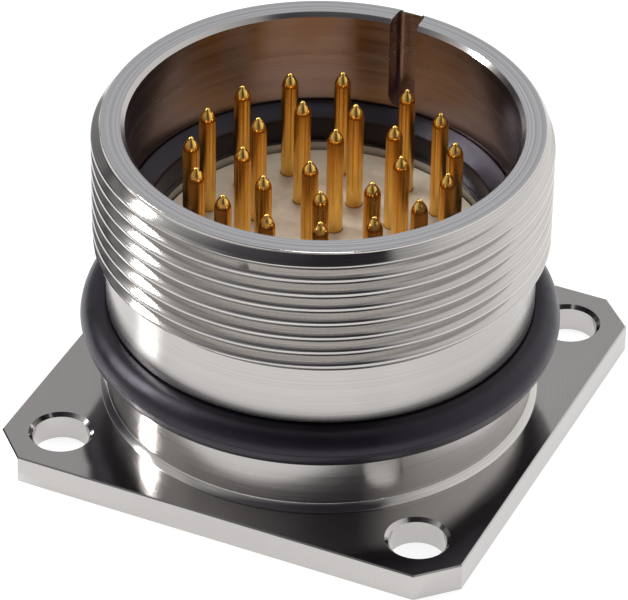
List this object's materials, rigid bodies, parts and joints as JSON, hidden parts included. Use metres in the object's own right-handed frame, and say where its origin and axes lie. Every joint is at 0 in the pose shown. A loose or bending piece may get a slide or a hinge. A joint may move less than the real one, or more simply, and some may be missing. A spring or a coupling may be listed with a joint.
{
  "type": "circular connector",
  "caption": "Square-flange circular connector with a threaded barrel, a keyed cup holding rings of gold pin contacts, a neck O-ring and four flange holes.",
  "frame": {"origin": "on the connector's axis, at the back face of the square flange, which it rests on", "axes": "+Z along the connector's axis from the flange to the open mouth of the barrel; +Y towards the keyway; the flange's sides lie along X and Y"},
  "size_m": [0.0296, 0.0296, 0.0202],
  "materials": {
    "nickel": "bright nickel plating on a turned shell",
    "rubber": "black moulded rubber, slight sheen",
    "insulator": "beige-grey moulded thermoset, matt",
    "gold": "gold plating on turned brass",
    "spring_steel": "oiled spring steel"
  },
  "bodies": {
    "root": {"housing": "nickel", "neck_seal": "rubber", "face_seal": "rubber", "front_insulator": "insulator", "rear_insulator": "insulator", "retaining_ring": "spring_steel", "contact_pin_01": "gold", "contact_pin_02": "gold", "contact_pin_03": "gold", "contact_pin_04": "gold", "contact_pin_05": "gold", "contact_pin_06": "gold", "contact_pin_07": "gold", "contact_pin_08": "gold", "contact_pin_09": "gold", "contact_pin_10": "gold", "contact_pin_11": "gold", "contact_pin_12": "gold", "contact_pin_13": "gold", "contact_pin_14": "gold", "contact_pin_15": "gold", "contact_pin_16": "gold", "contact_pin_17": "gold", "contact_pin_18": "gold", "contact_pin_19": "gold", "contact_pin_20": "gold", "contact_pin_21": "gold", "contact_pin_22": "gold", "contact_pin_23": "gold", "contact_pin_24": "gold", "contact_pin_25": "gold", "contact_pin_26": "gold"}
  },
  "joints": []
}
